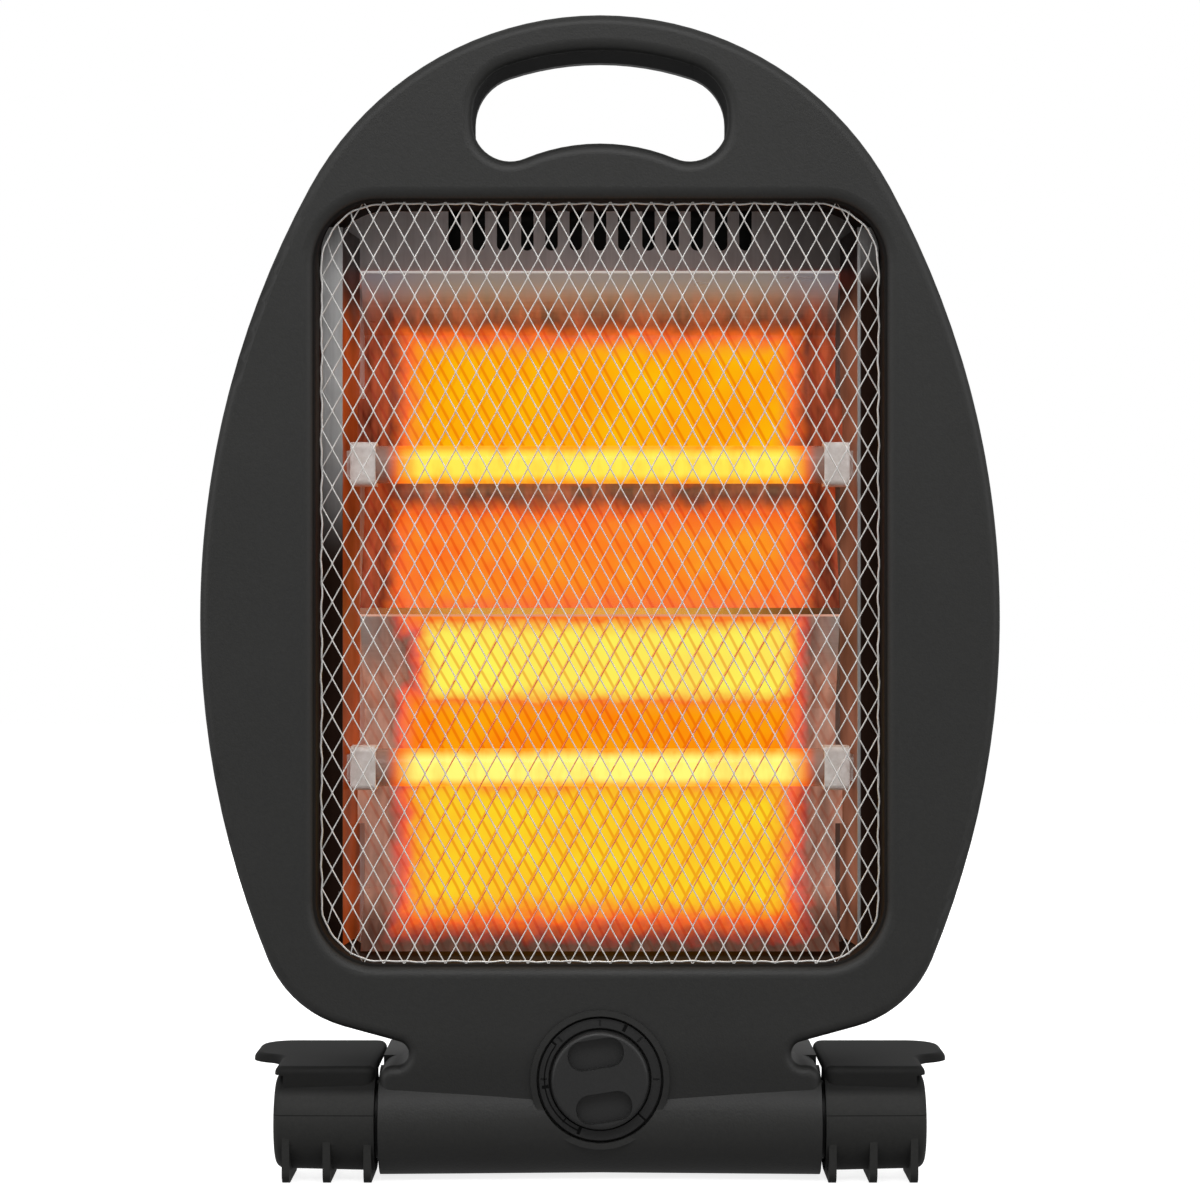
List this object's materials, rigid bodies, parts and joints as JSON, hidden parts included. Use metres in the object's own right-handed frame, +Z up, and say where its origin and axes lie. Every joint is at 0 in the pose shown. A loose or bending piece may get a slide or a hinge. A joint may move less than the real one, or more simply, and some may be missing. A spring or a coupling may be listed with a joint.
{
  "type": "quartz heater",
  "caption": "Portable egg-shaped quartz heater with glowing tubes behind a diamond mesh guard, a carrying handle, a rotary switch on the base and fold-out feet.",
  "frame": {"origin": "on the floor under the middle of the stowed heater", "axes": "+X to the viewer's right, +Y to the back, so the guard faces -Y, +Z up"},
  "size_m": [0.2674, 0.0812, 0.39],
  "materials": {
    "housing_plastic": "fine matt grain",
    "foot_plastic": "fine matt grain",
    "knob_plastic": "matt",
    "dial_plastic": "matt",
    "inner_plastic": "plain moulded",
    "guard_wire": "bright expanded metal",
    "pan_steel": "galvanised sheet",
    "plate_steel": "galvanised sheet",
    "reflector_metal": "bright rolled",
    "quartz": "clear tube",
    "hot_wire": "glowing resistance wire",
    "steatite": "unglazed white",
    "zinc_steel": "zinc plated",
    "terminal_brass": "plain",
    "lead_sleeve": "woven sleeve",
    "rubber": "plain",
    "spring_steel": "plain"
  },
  "bodies": {
    "housing": {"front_housing": "housing_plastic", "rear_cover": "housing_plastic", "base_plate": "housing_plastic", "guard_mesh": "guard_wire", "chassis_pan": "pan_steel", "side_plate_left": "plate_steel", "side_plate_right": "plate_steel", "side_plate_rivets": "zinc_steel", "reflector_upper": "reflector_metal", "reflector_lower": "reflector_metal", "cap_clips": "spring_steel", "tube_terminals": "terminal_brass", "rotary_switch": "inner_plastic", "switch_screws": "zinc_steel", "dial_ring": "dial_plastic", "tip_switch_housing": "inner_plastic", "tip_switch_spring": "spring_steel", "thermal_cutout": "zinc_steel", "terminal_block": "inner_plastic", "cable_gland": "rubber", "body_screws": "zinc_steel", "chassis_screws": "zinc_steel", "base_screws": "zinc_steel", "rubber_pads": "rubber", "quartz_tube_upper": "quartz", "heating_coil_upper": "hot_wire", "end_cap_upper_left": "steatite", "lead_wire_upper_left": "lead_sleeve", "end_cap_upper_right": "steatite", "lead_wire_upper_right": "lead_sleeve", "quartz_tube_lower": "quartz", "heating_coil_lower": "hot_wire", "end_cap_lower_left": "steatite", "lead_wire_lower_left": "lead_sleeve", "end_cap_lower_right": "steatite", "lead_wire_lower_right": "lead_sleeve"},
    "knob": {"control_knob": "knob_plastic", "switch_shaft": "zinc_steel"},
    "left_foot": {"left_foot": "foot_plastic", "left_foot_washer": "zinc_steel", "left_foot_screw": "zinc_steel", "left_spring_washer": "spring_steel"},
    "right_foot": {"right_foot": "foot_plastic", "right_foot_washer": "zinc_steel", "right_foot_screw": "zinc_steel", "right_spring_washer": "spring_steel"},
    "tip_plunger": {"tip_switch_plunger": "inner_plastic"}
  },
  "joints": [
    {"name": "knob_turn", "type": "hinge", "parent": "housing", "child": "knob", "pos_m": [0, -0.03595, 0.0347], "axis": [0, -1, 0], "range_deg": [0, 180]},
    {"name": "left_foot_fold", "type": "hinge", "parent": "housing", "child": "left_foot", "pos_m": [-0.0762, -0.0223, 0.01925], "axis": [-1, 0, 0], "range_deg": [0, 180]},
    {"name": "right_foot_fold", "type": "hinge", "parent": "housing", "child": "right_foot", "pos_m": [0.0762, -0.0223, 0.01925], "axis": [-1, 0, 0], "range_deg": [0, 180]},
    {"name": "tip_plunger_drop", "type": "slide", "parent": "housing", "child": "tip_plunger", "axis": [0, 0, -1], "range_m": [0, 0.006], "stiffness_N_per_m": 20, "springref_m": 0.012, "deforming": ["tip_switch_spring"]}
  ]
}
